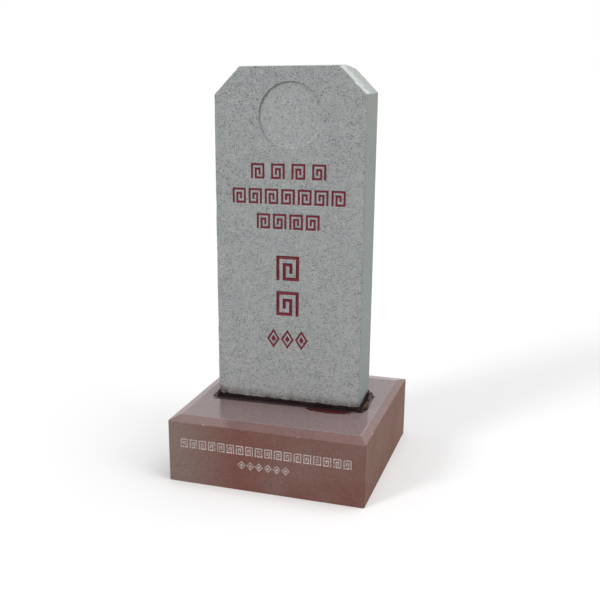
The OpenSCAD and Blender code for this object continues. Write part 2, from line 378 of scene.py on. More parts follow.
greyStone = {
    "ior": 1.5,
    "crystals": 290,  # per metre
    "warmth": 0.02,
    "dark": (0.172, 0.181, 0.186, 1),
    "pale": (0.55, 0.535, 0.52, 1),
    "fleckGloss": -0.12,  # dark crystals are this much smoother
    "grainRelief": 0.5,
    "bumpDepth": 0.0024,
    "pits": 330.0,  # per metre
    # painted shade: the hollows of the hammer pits are darker by this share
    "paintedShadeInPits": 0.25,
    "warmed": (0.312, 0.318, 0.285, 1),  # the upper part of the sides
    "warmAt": (0.92, 1.08),  # heights where it starts and is full
    "warmShare": 0.55,
    "paleHighlight": (0.66, 0.70, 0.665, 1),  # painted highlight on the cut corners and the top, along the front
    "highlightAt": (-0.008, -0.052),  # depths where it starts and is full
    "backTone": (0.270, 0.306, 0.288, 1),  # the same faces, darker along the back and in patches
    "backToneAt": (0.052, 0.072),
    "backToneShare": 0.6,
    "backTonePatches": (41.0, 0.50, 0.68, 0.45),
    "brokenEdge": (60.0, 5.0, 0.7),  # waves per metre, detail and roughness
    "brokenReach": 0.16,
    "streaks": (14.0, 0.45, 0.80, 0.10),
    "streakLong": (1.0, 1.0, 0.12),
}

greyFinishes = {
    "hammeredGranite": {
        "base": (0.452, 0.472, 0.469, 1), "darkShare": 0.075, "paleShare": 0.10,
        "contrast": 0.22, "roughness": 0.82, "bump": 0.90, "pits": 1.0, "footStainedAndShaded": True,
    },
    "sawnGranite": {
        "base": (0.270, 0.306, 0.288, 1), "pale": (0.350, 0.385, 0.365, 1),
        "darkShare": 0.05, "paleShare": 0.10, "contrast": 0.12, "roughness": 0.62,
        "bump": 0.20, "pits": 0.1, "footStainedAndShaded": True, "warmerHigh": True,
    },
    # the top and the cut corners, lighter than the sides
    "upFacingGranite": {
        "base": (0.425, 0.455, 0.435, 1), "darkShare": 0.05, "paleShare": 0.08,
        "contrast": 0.12, "roughness": 0.70, "bump": 0.30, "pits": 0.2, "highlightStrength": 0.8,
    },
    "panelGranite": {
        "base": (0.404, 0.421, 0.418, 1), "darkShare": 0.07, "paleShare": 0.06,
        "contrast": 0.15, "roughness": 0.74, "bump": 0.35, "pits": 0.3,
    },
    # the round panel's wall: dirt and painted shade
    "grimyShadedGranite": {
        "base": (0.22, 0.225, 0.22, 1), "darkShare": 0.12, "paleShare": 0.03,
        "contrast": 0.20, "roughness": 0.85, "bump": 0.40, "pits": 0.4,
    },
    "knockedGranite": {
        "base": (0.34, 0.35, 0.335, 1), "darkShare": 0.14, "paleShare": 0.10,
        "contrast": 0.30, "roughness": 0.85, "bump": 0.60, "pits": 0.6, "footStainedAndShaded": True,
    },
}

footGrimeAndShade = {  # stain and painted shade where the upright stone meets the mortar
    "shoulder": 0.210,
    "stainAndShade": (0.165, 0.140, 0.125, 1),
    "top": 0.245,  # the faint stain and painted shade end at this height
    "faintest": 0.25,
    "patches": (45.0, 0.34, 0.62, 0.70),
    "leftAt": (-0.130, -0.225),  # the darker corner starts and is full here
    "leftRise": 0.030,
    "leftClear": 0.001,
    "leftEdge": (-0.004, 0.012),
    "leftShares": (0.5, 0.55),  # of the patches, and all over
    "broken": (150.0, 4.0, 0.6),  # waves per metre, detail and roughness
    "brokenReach": 0.040,
    "dirtAndShade": (0.045, 0.038, 0.036, 1),
    "specks": (150.0, 0.44, 0.56, 0.80),
    "speckRise": 0.014,
    "speckEdge": (-0.004, 0.006),
}

redStone = {
    "ior": 1.55,
    "crystals": 470,
    "warmth": 0.01,
    "darkShare": 0.05,
    "paleShare": 0.05,
    "dark": (0.118, 0.062, 0.056, 1),
    "pale": (0.265, 0.160, 0.140, 1),
    "bumpDepth": 0.001,
    "dust": (9.0, 0.40, 0.75, 0.12),
    "sideBase": (0.208, 0.086, 0.070, 1),
    # greyer: the stone's own cool patches, and a painted reflection at the left end
    "sideCoolReflected": (0.258, 0.184, 0.160, 1),
    "coolPatches": (3.2, 0.38, 0.66, 0.45),
    "reflectedAt": (-0.05, -0.30),  # a painted reflection greys the left end; it starts and is full here
    "shadedSide": (0.90, 0.88, 0.71, 1),  # tint of the right side
    "shadedAt": (0.2975, 0.2990),
    "topBase": (0.218, 0.158, 0.160, 1),
    "flatTop": 0.2,
    "washBase": (0.206, 0.118, 0.112, 1),  # the sloping margins
    "washSoiled": (0.155, 0.100, 0.100, 1),
    "washPatches": (17.0, 0.46, 0.66, 0.55),
    "washBelow": (0.0003, 0.0012),
    "fold": (0.42, 0.34, 0.33, 1),  # worn line where the margins begin
    "foldAt": (0.274, 0.252),
    "foldHalf": 0.0013,
    "foldPatches": (30.0, 0.35, 0.60, 0.70),
    "flatBelow": (0.002, 0.001),
}

brokenRed = {  # where it is chipped or cut into
    "ior": 1.5,
    "crystals": 420.0,
    "base": (0.46, 0.33, 0.29, 1),
    "darkShare": 0.2,
    "paleShare": 0.15,
    "contrast": 0.4,
    "fleckGloss": -0.1,
    "roughness": 0.75,
    "bump": 0.5,
}

soakAndShade = {  # stains and painted shade round the upright stone's foot, on the plinth's top
    "footHalf": (0.225, 0.070),  # half the stone's width and thickness
    "stainAndShade": (0.016, 0.009, 0.010, 1),
    "strength": 0.94,
    "gloss": 0.35,  # a stain dulls the polish
    "patches": (22.0, 0.25, 0.55, 0.60),
    "faintest": 0.4,
    "wavy": (38.0, 3.0),  # waves per metre and detail
    "wavyReach": 0.022,
    "reach": (0.020, 0.004),
    "frayed": (110.0, 4.0, 0.6),
    # a dark crimson wet stain
    "deepTone": (0.052, 0.003, 0.004, 1),
    "wetAt": (0.135, -0.086),
    "wetHalf": (0.078, 0.030),
    "wetEdge": (1.0, 0.82),
    "wetRagged": (14.0, 0.45),  # shares of the wavy and the frayed edge
    "smearAndShadeAt": (0.215, -0.225),  # the smear with painted shade in front starts here and is widest here
    "smearAndShadeReach": 0.027,
    "smearAndShadeFrayed": 0.010,
    "smearAndShadeEdge": (0.0015, -0.0015),
    "smearAndShadeBehind": -0.002,
    "smearAndShadeBeside": 0.004,
}

enamels = {
    "redEnamel": {
        "fresh": (0.172, 0.013, 0.026, 1), "worn": (0.255, 0.062, 0.078, 1),
        "wornShare": 0.33, "shine": 0.2,
    },
    "redOverrun": {  # paint run over the edges of the cuts
        "fresh": (0.230, 0.065, 0.080, 1), "worn": (0.31, 0.235, 0.235, 1),
        "wornShare": 0.46, "shine": 0.15,
    },
    "paleEnamel": {
        "fresh": (0.62, 0.53, 0.51, 1), "worn": (0.27, 0.17, 0.15, 1),
        "wornShare": 0.46, "shine": 0.5,
    },
}

paintWear = {
    "ior": 1.5,
    "fineWear": 170.0,  # patches per metre
    "wearEdge": 0.08,
    "fading": (28.0, 0.35, 0.75, 0.35),
    "roughness": 0.42,
    "wornRoughness": 0.3,
    "brush": (420.0, 3.0),
    "bump": (0.25, 0.0006),
}

mortarTones = {
    "ior": 1.45,
    "specular": 0.06,
    # the first two are nearly black: dark mortar and painted shade, in front and in the crevice
    "deepTone": (0.013, 0.006, 0.008, 1),
    "nearBlack": (0.024, 0.014, 0.015, 1),
    "olive": (0.120, 0.088, 0.058, 1),
    "violet": (0.180, 0.130, 0.132, 1),
    "patches": (38.0, 0.36, 0.58),
    "sideAt": (0.222, 0.232),  # beyond this the mortar is drier and lumpier
    "creviceWide": 0.006,
    "rearAt": (-0.01, 0.02),
    "leftAt": (0.01, -0.01),
    "sand": 900.0,  # grains per metre
    "sandTone": (0.7, 0.65),
    "sandRelief": 0.3,
    "roughness": 0.65,
    "dryRoughness": 0.25,
    "lumps": (260.0, 4.0),
    "bump": (0.6, 0.002),
}


def warmTop(tree, color, place):
    highShare = times(tree, ramp(tree, place["Z"], *greyStone["warmAt"]), greyStone["warmShare"])
    return blendColor(tree, highShare, color, greyStone["warmed"])


def highlightFront(tree, color, coords, place, strength):
    # painted highlight along the front of these faces, with a ragged edge
    stray = centredNoise(tree, coords, *greyStone["brokenEdge"])
    depth = plus(tree, place["Y"], times(tree, stray, greyStone["brokenReach"]))
    front = times(tree, ramp(tree, depth, *greyStone["highlightAt"]), strength)
    color = blendColor(tree, front, color, greyStone["paleHighlight"])
    rear = times(tree, ramp(tree, depth, *greyStone["backToneAt"]), greyStone["backToneShare"])
    backTone = larger(tree, patchesOf(tree, coords, *greyStone["backTonePatches"]), rear)
    return blendColor(tree, backTone, color, greyStone["backTone"])


def stainAndShadeFoot(tree, color, coords, place):
    shoulder = footGrimeAndShade["shoulder"]
    # a stain with painted shade low on the stone
    patchy = patchesOf(tree, coords, *footGrimeAndShade["patches"])
    low = ramp(tree, place["Z"], footGrimeAndShade["top"], shoulder)
    stainAndShade = times(tree, low, plus(tree, patchy, footGrimeAndShade["faintest"]))
    # the left corner is stained and shaded higher, with a broken edge: stain and painted shade
    fromLeft = ramp(tree, place["X"], *footGrimeAndShade["leftAt"])
    broken = centredNoise(tree, coords, *footGrimeAndShade["broken"])
    leftTop = plus(
        tree, times(tree, fromLeft, footGrimeAndShade["leftRise"]), shoulder + footGrimeAndShade["leftClear"]
    )
    leftTop = plus(tree, leftTop, times(tree, broken, footGrimeAndShade["brokenReach"]))
    leftLow = ramp(tree, minus(tree, leftTop, place["Z"]), *footGrimeAndShade["leftEdge"])
    patchShare, allShare = footGrimeAndShade["leftShares"]
    leftLow = times(tree, leftLow, plus(tree, times(tree, patchy, patchShare), allShare))
    color = blendColor(tree, larger(tree, stainAndShade, leftLow), color, footGrimeAndShade["stainAndShade"])
    # specks of dirt and painted shade just above the joint
    reach = plus(
        tree, times(tree, fromLeft, footGrimeAndShade["speckRise"]), shoulder + footGrimeAndShade["leftClear"]
    )
    dirtAndShadeBand = ramp(tree, minus(tree, reach, place["Z"]), *footGrimeAndShade["speckEdge"])
    specks = patchesOf(tree, coords, *footGrimeAndShade["specks"])
    color = blendColor(tree, times(tree, dirtAndShadeBand, specks), color, footGrimeAndShade["dirtAndShade"])
    # long faint streaks down the whole stone
    stretch = addNode(tree, "ShaderNodeMapping")
    stretch.inputs["Scale"].default_value = greyStone["streakLong"]
    feed(tree, stretch.inputs["Vector"], coords)
    streaks = patchesOf(tree, stretch.outputs[0], *greyStone["streaks"])
    return blendColor(tree, streaks, color, greyStone["dark"])


def greyGranite(name, base, darkShare, paleShare, contrast, roughness, bump, pits,
                pale=greyStone["pale"], footStainedAndShaded=False, warmerHigh=False, highlightStrength=0.0):
    material, tree, shader, coords = newMaterial(name, IOR=greyStone["ior"])
    place = splitPlace(tree, coords)
    grain = useGroup(
        tree, crystalGrain, Vector=coords, Crystals=greyStone["crystals"], Base=base,
        Dark=greyStone["dark"], Pale=pale, DarkShare=darkShare, PaleShare=paleShare,
        Contrast=contrast, Warmth=greyStone["warmth"],
    )
    color = grain["Color"]
    if warmerHigh:
        color = warmTop(tree, color, place)
    if highlightStrength:
        color = highlightFront(tree, color, coords, place, highlightStrength)
    if footStainedAndShaded:
        color = stainAndShadeFoot(tree, color, coords, place)
    dents = useGroup(tree, hammerPits, Vector=coords, Pits=greyStone["pits"], Depth=pits)
    # painted shade in the hollows of the hammer pits
    paintedPitShade = times(tree, dents["Hollows"], greyStone["paintedShadeInPits"] * pits)
    feed(tree, shader["Base Color"], blendColor(tree, paintedPitShade, color, greyStone["dark"]))
    smoother = times(tree, grain["Flecks"], greyStone["fleckGloss"])
    feed(tree, shader["Roughness"], plus(tree, smoother, roughness))
    height = plus(tree, times(tree, grain["Height"], greyStone["grainRelief"]), dents["Height"])
    bumpFrom(tree, shader, height, bump, greyStone["bumpDepth"])
    return material


def redTop(tree, coords, place):
    margin = blendColor(
        tree, patchesOf(tree, coords, *redStone["washPatches"]),
        redStone["washBase"], redStone["washSoiled"],
    )
    high, low = (redStone["flatTop"] - below for below in redStone["washBelow"])
    return blendColor(tree, ramp(tree, place["Z"], high, low), redStone["topBase"], margin)


def redSide(tree, coords, place):
    patches = patchesOf(tree, coords, *redStone["coolPatches"])
    # cool patches of the stone's own, and a painted reflection greying the left end
    coolAndReflected = larger(tree, patches, ramp(tree, place["X"], *redStone["reflectedAt"]))
    ground = blendColor(tree, coolAndReflected, redStone["sideBase"], redStone["sideCoolReflected"])
    rightSide = ramp(tree, place["X"], *redStone["shadedAt"])
    return blendColor(tree, rightSide, ground, redStone["shadedSide"], mode="MULTIPLY")


def soakAndShadeTop(tree, color, coords, place, onTop):
    halfWide, halfDeep = soakAndShade["footHalf"]
    besideX = larger(tree, minus(tree, sizeOf(tree, place["X"]), halfWide), 0.0)
    besideY = larger(tree, minus(tree, sizeOf(tree, place["Y"]), halfDeep), 0.0)
    wavy = times(tree, centredNoise(tree, coords, *soakAndShade["wavy"]), soakAndShade["wavyReach"])
    frayed = centredNoise(tree, coords, *soakAndShade["frayed"])
    # the wet patch is an oval with a ragged edge
    offset = [
        maths(tree, "DIVIDE", minus(tree, place[axis], middle), half)
        for axis, middle, half in zip("XY", soakAndShade["wetAt"], soakAndShade["wetHalf"])
    ]
    squares = plus(tree, *(times(tree, part, part) for part in offset))
    wavyShare, frayedShare = soakAndShade["wetRagged"]
    ragged = plus(tree, times(tree, wavy, wavyShare), times(tree, frayed, frayedShare))
    fromWet = plus(tree, maths(tree, "SQRT", squares), ragged)
    deepTone = times(tree, ramp(tree, fromWet, *soakAndShade["wetEdge"]), onTop)
    color = blendColor(tree, times(tree, deepTone, soakAndShade["strength"]), color, soakAndShade["deepTone"])
    # a stain with painted shade all round the foot
    beside = plus(tree, plus(tree, besideX, besideY), wavy)
    near = times(tree, ramp(tree, beside, *soakAndShade["reach"]), onTop)
    patchy = plus(tree, patchesOf(tree, coords, *soakAndShade["patches"]), soakAndShade["faintest"])
    stainAndShade = times(tree, near, patchy)
    # a dark smear with painted shade in front that widens to the left
    along = ramp(tree, place["X"], *soakAndShade["smearAndShadeAt"], smooth=False)
    toe = times(tree, maths(tree, "SQRT", along), soakAndShade["smearAndShadeReach"])
    inFront = minus(tree, -halfDeep, place["Y"])
    frayedToe = times(tree, frayed, soakAndShade["smearAndShadeFrayed"])
    past = minus(tree, plus(tree, inFront, frayedToe), toe)
    smearAndShade = times(
        tree, ramp(tree, past, *soakAndShade["smearAndShadeEdge"]),
        ramp(tree, inFront, soakAndShade["smearAndShadeBehind"], 0.0),
    )
    ended = ramp(tree, plus(tree, besideX, frayedToe), soakAndShade["smearAndShadeBeside"], 0.0)
    smearAndShade = times(tree, times(tree, smearAndShade, ended), onTop)
    stainAndShade = larger(tree, stainAndShade, smearAndShade)
    color = blendColor(tree, times(tree, stainAndShade, soakAndShade["strength"]), color, soakAndShade["stainAndShade"])
    return color, times(tree, stainAndShade, soakAndShade["gloss"])


def wornFold(tree, color, coords, place, onTop):
    lines = []
    for axis, at in zip("XY", redStone["foldAt"]):
        away = sizeOf(tree, minus(tree, sizeOf(tree, place[axis]), at))
        lines.append(ramp(tree, away, redStone["foldHalf"], 0.0))
    fold = times(tree, larger(tree, *lines), onTop)
    rubbed = patchesOf(tree, coords, *redStone["foldPatches"])
    return blendColor(tree, times(tree, fold, rubbed), color, redStone["fold"])


def redGranite(name, ground, contrast, roughness, bump, specular):
    material, tree, shader, coords = newMaterial(
        name, IOR=redStone["ior"], Specular_IOR_Level=specular
    )
    place = splitPlace(tree, coords)
    grain = useGroup(
        tree, crystalGrain, Vector=coords, Crystals=redStone["crystals"],
        Base=ground(tree, coords, place), Dark=redStone["dark"], Pale=redStone["pale"],
        DarkShare=redStone["darkShare"], PaleShare=redStone["paleShare"],
        Contrast=contrast, Warmth=redStone["warmth"],
    )
    color = grain["Color"]
    gloss = plus(tree, patchesOf(tree, coords, *redStone["dust"]), roughness)
    if ground is redTop:
        low, high = (redStone["flatTop"] - below for below in redStone["flatBelow"])
        onTop = ramp(tree, place["Z"], low, high)
        color, dulled = soakAndShadeTop(tree, color, coords, place, onTop)
        color = wornFold(tree, color, coords, place, onTop)
        gloss = plus(tree, gloss, dulled)
    feed(tree, shader["Base Color"], color)
    feed(tree, shader["Roughness"], gloss)
    bumpFrom(tree, shader, grain["Height"], bump, redStone["bumpDepth"])
    return material


def brokenGranite(name, broken):
    material, tree, shader, coords = newMaterial(name, IOR=broken["ior"])
    grain = useGroup(
        tree, crystalGrain, Vector=coords, Crystals=broken["crystals"], Base=broken["base"],
        Dark=redStone["pale"], Pale=greyStone["pale"], DarkShare=broken["darkShare"],
        PaleShare=broken["paleShare"], Contrast=broken["contrast"],
    )
    feed(tree, shader["Base Color"], grain["Color"])
    smoother = times(tree, grain["Flecks"], broken["fleckGloss"])
    feed(tree, shader["Roughness"], plus(tree, smoother, broken["roughness"]))
    bumpFrom(tree, shader, grain["Height"], broken["bump"], redStone["bumpDepth"])
    return material


def enamel(name, fresh, worn, wornShare, shine):
    material, tree, shader, coords = newMaterial(
        name, IOR=paintWear["ior"], Specular_IOR_Level=shine
    )
    start = 1.0 - wornShare
    fine = patchesOf(tree, coords, paintWear["fineWear"], start, start + paintWear["wearEdge"])
    faded = patchesOf(tree, coords, *paintWear["fading"])
    feed(tree, shader["Base Color"], blendColor(tree, larger(tree, fine, faded), fresh, worn))
    rougher = times(tree, fine, paintWear["wornRoughness"])
    feed(tree, shader["Roughness"], plus(tree, rougher, paintWear["roughness"]))
    brush = noiseOf(tree, coords, *paintWear["brush"])
    bumpFrom(tree, shader, minus(tree, brush, fine), *paintWear["bump"])
    return material


def darkMortarAndShade(tones):
    material, tree, shader, coords = newMaterial(
        "darkMortarAndShade", IOR=tones["ior"], Specular_IOR_Level=tones["specular"]
    )
    place = splitPlace(tree, coords)
    patches = patchesOf(tree, coords, *tones["patches"])
    grains = splitColor(tree, cellsOf(tree, coords, tones["sand"], "Color"))[0]
    outward = sizeOf(tree, place["X"])
    sideways = ramp(tree, outward, *tones["sideAt"])
    # violet behind and at the left, olive at the right, nearly black in front: dark mortar and
    # painted shade
    rearward = ramp(tree, place["Y"], *tones["rearAt"])
    rearward = larger(tree, rearward, ramp(tree, place["X"], *tones["leftAt"]))
    dryTone = blendColor(tree, rearward, tones["olive"], tones["violet"])
    dryTone = blendColor(tree, sideways, tones["nearBlack"], dryTone)
    # painted shade: the crevice beside the stone's right side keeps the nearly black tone
    inner = tones["sideAt"][1]
    creviceShade = ramp(tree, outward, inner + tones["creviceWide"], inner)
    creviceShade = times(tree, creviceShade, ramp(tree, place["X"], *reversed(tones["leftAt"])))
    creviceShade = times(tree, creviceShade, sideways)
    dried = times(tree, patches, minus(tree, 1.0, creviceShade))
    color = blendColor(tree, dried, tones["deepTone"], dryTone)
    share, darkest = tones["sandTone"]
    color = scaled(tree, color, plus(tree, times(tree, grains, share), darkest))
    feed(tree, shader["Base Color"], color)
    rougher = times(tree, patches, tones["dryRoughness"])
    feed(tree, shader["Roughness"], plus(tree, rougher, tones["roughness"]))
    sandy = times(tree, grains, tones["sandRelief"])
    lumps = plus(tree, noiseOf(tree, coords, *tones["lumps"]), sandy)
    bumpFrom(tree, shader, lumps, *tones["bump"])
    return material


paint = {name: enamel(name, **finish) for name, finish in enamels.items()}
stoneMaterials = [greyGranite(name, **finish) for name, finish in greyFinishes.items()]
stoneMaterials.append(paint["redOverrun"])
plinthMaterials = [
    redGranite(
        "polishedRedGranite", redTop, contrast=0.14, roughness=0.11, bump=0.015, specular=0.31
    ),
    brokenGranite("brokenRedGranite", brokenRed),
    redGranite(
        "honedRedGranite", redSide, contrast=0.10, roughness=0.52, bump=0.03, specular=0.10
    ),
]
mortarMaterial = darkMortarAndShade(mortarTones)

# where each finish is in those two lists
hammered, sawn, upFacing, panelled, grimyShaded, knocked, overrun = range(len(stoneMaterials))
polished, broken, honed = range(len(plinthMaterials))
print("stage: materials made")

# Mesh helpers

samePoint = 0.005 * mm  # points nearer than this are one point
sliceClear = 0.35 * mm  # a slice takes in points this near to it


def newObject(name, bm, materials):
    mesh = bpy.data.meshes.new(name)
    bm.to_mesh(mesh)
    bm.free()
    for material in materials:
        mesh.materials.append(material)
    made = bpy.data.objects.new(name, mesh)
    bpy.context.scene.collection.objects.link(made)
    return made


def finishWith(faces, finish):
    for face in faces:
        face.material_index = finish


def applyModifiers(made):
    graph = bpy.context.evaluated_depsgraph_get()
    mesh = bpy.data.meshes.new_from_object(made.evaluated_get(graph), depsgraph=graph)
    made.modifiers.clear()
    old, made.data = made.data, mesh
    mesh.name = made.name
    bpy.data.meshes.remove(old)


def combine(made, tool, operation="DIFFERENCE"):
    step = made.modifiers.new("cut", "BOOLEAN")
    step.operation, step.solver, step.object = operation, "MANIFOLD", tool
    applyModifiers(made)
    spare = tool.data
    bpy.data.objects.remove(tool)
    bpy.data.meshes.remove(spare)
    print("  ", made.name, operation.lower(), len(made.data.polygons), "faces")


def smoothShade(made, angle, trueFlats=False):
    made.data.shade_smooth()
    made.data.set_sharp_from_angle(angle=math.radians(angle))
    wide = 100 * mm * mm
    for face in made.data.polygons:  # a wide flat face keeps its own normal up to its arris
        square = max(abs(c) for c in face.normal) > 0.9999
        if face.area > wide or (trueFlats and square):
            face.use_smooth = False


def allOf(bm):
    return bm.verts[:] + bm.edges[:] + bm.faces[:]


def vertsIn(made):
    return [v for v in made["geom"] if isinstance(v, bmesh.types.BMVert)]


def mergedCopy(node):
    bm = bmesh.new()
    bm.from_mesh(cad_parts[node].data)
    bmesh.ops.remove_doubles(bm, verts=bm.verts, dist=samePoint)
    bmesh.ops.dissolve_limit(
        bm, angle_limit=math.radians(0.5), verts=bm.verts, edges=bm.edges
    )
    return bm


def sliceAcross(bm, axis, low, high, step, near=sliceClear):
    normal = Vector((axis == 0, axis == 1, axis == 2))
    count = max(round((high - low) / step), 1)
    for i in range(1, count):
        bmesh.ops.bisect_plane(
            bm, geom=allOf(bm), dist=near,
            plane_co=normal * (low + (high - low) * i / count), plane_no=normal,
        )


def sliceEvenly(bm, step, near=sliceClear):
    for axis in (0, 2):
        places = [v.co[axis] for v in bm.verts]
        sliceAcross(bm, axis, min(places), max(places), step, near)
    bmesh.ops.remove_doubles(bm, verts=bm.verts, dist=0.02 * mm)


def wallDirection(vert):  # moves both walls that meet at a corner out by 1
    total = Vector()
    seen = []
    for face in vert.link_faces:
        if abs(face.normal.y) < 0.5 and not any(face.normal.dot(n) > 0.999 for n in seen):
            seen.append(face.normal.copy())
            total += face.normal
    if len(seen) == 2:
        return total / (1 + seen[0].dot(seen[1]))
    return total / max(len(seen), 1)


def grow(verts, amount):
    moves = [(v, wallDirection(v) * amount(v)) for v in verts]
    for vert, move in moves:
        vert.co += move


def shareOf(value, whole):
    return min(max(value / whole, 0), 1)


def unitNoise(place):
    return 0.5 + 0.5 * noise.noise(place)


def relief(place, layers, seed=Vector()):  # each layer has its waves per metre and its depth
    return sum(depth * noise.noise(place * waves + seed) for waves, depth in layers)


# The upright stone

stele = {
    "width": 0.450,
    "thickness": 0.140,
    "height": 0.990,
    "foot": 0.210,  # height of its shoulder above the ground
    "cornerCut": 0.078,
    "cell": 0.0042,  # spacing of the hammered relief's mesh
    "depthCell": 0.006,
    "arris": 0.0028,
    "arrisSteps": 3,
    "hammer": 0.0011,  # deepest pit of the hammered face
    "hammerWaves": ((95, 3.7), (230, 8.1)),  # per metre, and which slice of the noise
    "hammerShare": 0.45,
    "sawn": (0.0004, 45),  # depth, waves per metre
    "footWear": (0.0028, 0.026, 150),  # bite, reach, waves per metre
    "footEven": 0.25,  # share of that wear that is the same all along
    "footSquash": 0.8,
    "footChips": (0.0060, 0.012),  # height and reach of its broken under edge
    "footTuck": 0.6,
    "softSides": (0.0022, 0.010, 28),  # bite, reach and waves of the front's upright arrises
    "softEven": 0.4,
    "cutTool": (0.180, 0.152, 0.065),  # block that takes off a corner: length, depth, height
    "cutCell": 0.0028,
    "cutChamfer": 0.9,
    "cutNicks": (75, 20, 0.08, 0.006),  # waves along and across, part left whole, depth
    "cutSeed": 3.0,
    "cutRelief": ((70, 0.0002),),
    "spallDepth": 0.009,  # the piece broken off the top's right back corner
    "spallLean": (-6.3, 14.6),
    "spallTool": (0.2, 0.2, 0.05),
    "spallCell": 0.0043,
    "spallRelief": ((70, 0.0016), (260, 0.0007)),
    "knockCount": 9,  # along the foot
    "knockRadius": 0.016,
    "knockBite": 0.005,
    "knockSpread": 0.45,
    "knockTurns": (137, 40, 211, 0.3),  # degrees that vary their sizes and places
    "knockRelief": ((2.1, 0.10), (6.0, 0.05)),
    "knockSeed": 5.1,
    "cornerKnock": (0.024, 0.009),  # radius and bite
    "backKnock": (0.034, 0.008, 0.018),  # radius, bite and height above the shoulder
    "tenon": (0.260, 0.080, 0.100, 0.014),  # width, thickness, length, corner radius
    "panelRadius": 0.093,
    "panelAt": (0.005, 1.064),
    "panelDepth": 0.006,
    "panelRings": 14,
    "panelSteps": 120,
    # the wall's corners from its floor up: past the radius, and behind the stone's face
    "panelWall": ((0.0002, 0.001), (0.0016, -0.001), (0.0016, -0.006)),
    "panelRelief": (0.0005, 60),  # depth, waves per metre
    "panelFlat": 0.98,  # share of the radius that has it
    "groove": {"gap": 0.1 * mm, "lip": 0.9 * mm, "flare": 0.8 * mm, "step": 7 * mm},
}
steleFace = -stele["thickness"] / 2
toolOverlap = 0.02  # a bar that is joined or cut runs on by this much


def steleReach():
    return stele["width"] / 2, stele["thickness"] / 2, stele["foot"] + stele["height"]


def hammerDepth(x, z):
    coarse, fine = (
        noise.noise(Vector((x * waves, level, z * waves))) for waves, level in stele["hammerWaves"]
    )
    share = stele["hammerShare"]
    return stele["hammer"] * shareOf(0.5 + share * coarse + share * fine, 1)


def steleBlank():
    width, height, foot = stele["width"], stele["height"], stele["foot"]
    bm = bmesh.new()
    upright = Matrix.Rotation(math.radians(90), 4, "X")
    place = Matrix.Translation((0, steleFace, foot + height / 2)) @ upright
    shape = Matrix.Diagonal((width, height, 1, 1))
    bmesh.ops.create_grid(
        bm, x_segments=round(width / stele["cell"]), y_segments=round(height / stele["cell"]),
        size=0.5, matrix=place @ shape,
    )
    raised = bmesh.ops.extrude_face_region(bm, geom=bm.faces[:])
    bmesh.ops.translate(bm, verts=vertsIn(raised), vec=(0, stele["thickness"], 0))
    bmesh.ops.recalc_face_normals(bm, faces=bm.faces)
    arrises = [
        e for e in bm.edges
        if len(e.link_faces) == 2 and e.calc_face_angle() > math.radians(30)
    ]
    bmesh.ops.bevel(
        bm, geom=arrises, offset=stele["arris"], offset_type="OFFSET",
        segments=stele["arrisSteps"], profile=0.5, affect="EDGES", material=-1,
        clamp_overlap=False,
    )
    deep = [e for e in bm.edges if e.calc_length() > stele["thickness"] / 2]
    cuts = round(stele["thickness"] / stele["depthCell"])
    bmesh.ops.subdivide_edges(bm, edges=deep, cuts=cuts, use_grid_fill=True)
    print("   stele blank", len(bm.verts), "vertices")
    return bm


def wearStele(bm):
    bm.normal_update()
    half, deep, _ = steleReach()
    foot = stele["foot"]
    sawnDepth, sawnWaves = stele["sawn"]
    wearBite, wearReach, wearWaves = stele["footWear"]
    softBite, softReach, softWaves = stele["softSides"]
    chipRise, chipReach = stele["footChips"]
    footEven, softEven = stele["footEven"], stele["softEven"]
    moves = []
    for vert in bm.verts:
        x, y, z = vert.co
        above = z - foot
        # the front is hammered, the rest is sawn
        facing = max(-vert.normal.y, 0)
        hammered = hammerDepth(x, z) * facing
        sawn = sawnDepth * unitNoise(vert.co * sawnWaves) * (1 - facing)
        corner = max(0, 1 - math.hypot(half - abs(x), y - steleFace) / softReach)
        wavy = softEven + (1 - softEven) * noise.noise(vert.co * softWaves)
        soft = softBite * corner * wavy
        push = -vert.normal * (hammered + sawn + max(soft, 0))
        # the lower arris is worn back and chipped from below
        low = max(0, 1 - above / wearReach)
        ragged = unitNoise(Vector((x, y * stele["footSquash"], z)) * wearWaves)
        worn = wearBite * low * low * (footEven + (1 - footEven) * ragged)
        push += Vector((-vert.normal.x, -vert.normal.y, 0)) * worn
        edge = min(half - abs(x), deep - abs(y))
        if above < chipReach and edge < chipReach:
            near = (1 - edge / chipReach) * (1 - above / chipReach)
            push.z += chipRise * near * ragged ** 3
        if 0.01 * mm < above < stele["arris"]:
            push.z -= stele["footTuck"] * above
        moves.append(push)
    for vert, push in zip(bm.verts, moves):
        vert.co += push


def keepInside(bm):
    half, deep, top = steleReach()
    for vert in bm.verts:
        vert.co.x = min(max(vert.co.x, -half), half)
        vert.co.y = min(max(vert.co.y, -deep), deep)
        vert.co.z = min(vert.co.z, top)


def uprightBlock(size, cell, lowering, place):  # a block whose underside has a relief
    long, deep, high = size
    bm = bmesh.new()
    bmesh.ops.create_grid(
        bm, x_segments=round(long / cell), y_segments=round(deep / cell), size=0.5,
        matrix=Matrix.Diagonal((long, deep, 1, 1)),
    )
    for vert in bm.verts:
        vert.co.z -= lowering(vert.co)
    raised = bmesh.ops.extrude_face_region(bm, geom=bm.faces[:])
    bmesh.ops.translate(bm, verts=vertsIn(raised), vec=(0, 0, high))
    bmesh.ops.recalc_face_normals(bm, faces=bm.faces)
    bmesh.ops.transform(bm, matrix=place, verts=bm.verts)
    finishWith(bm.faces, upFacing)
    return bm


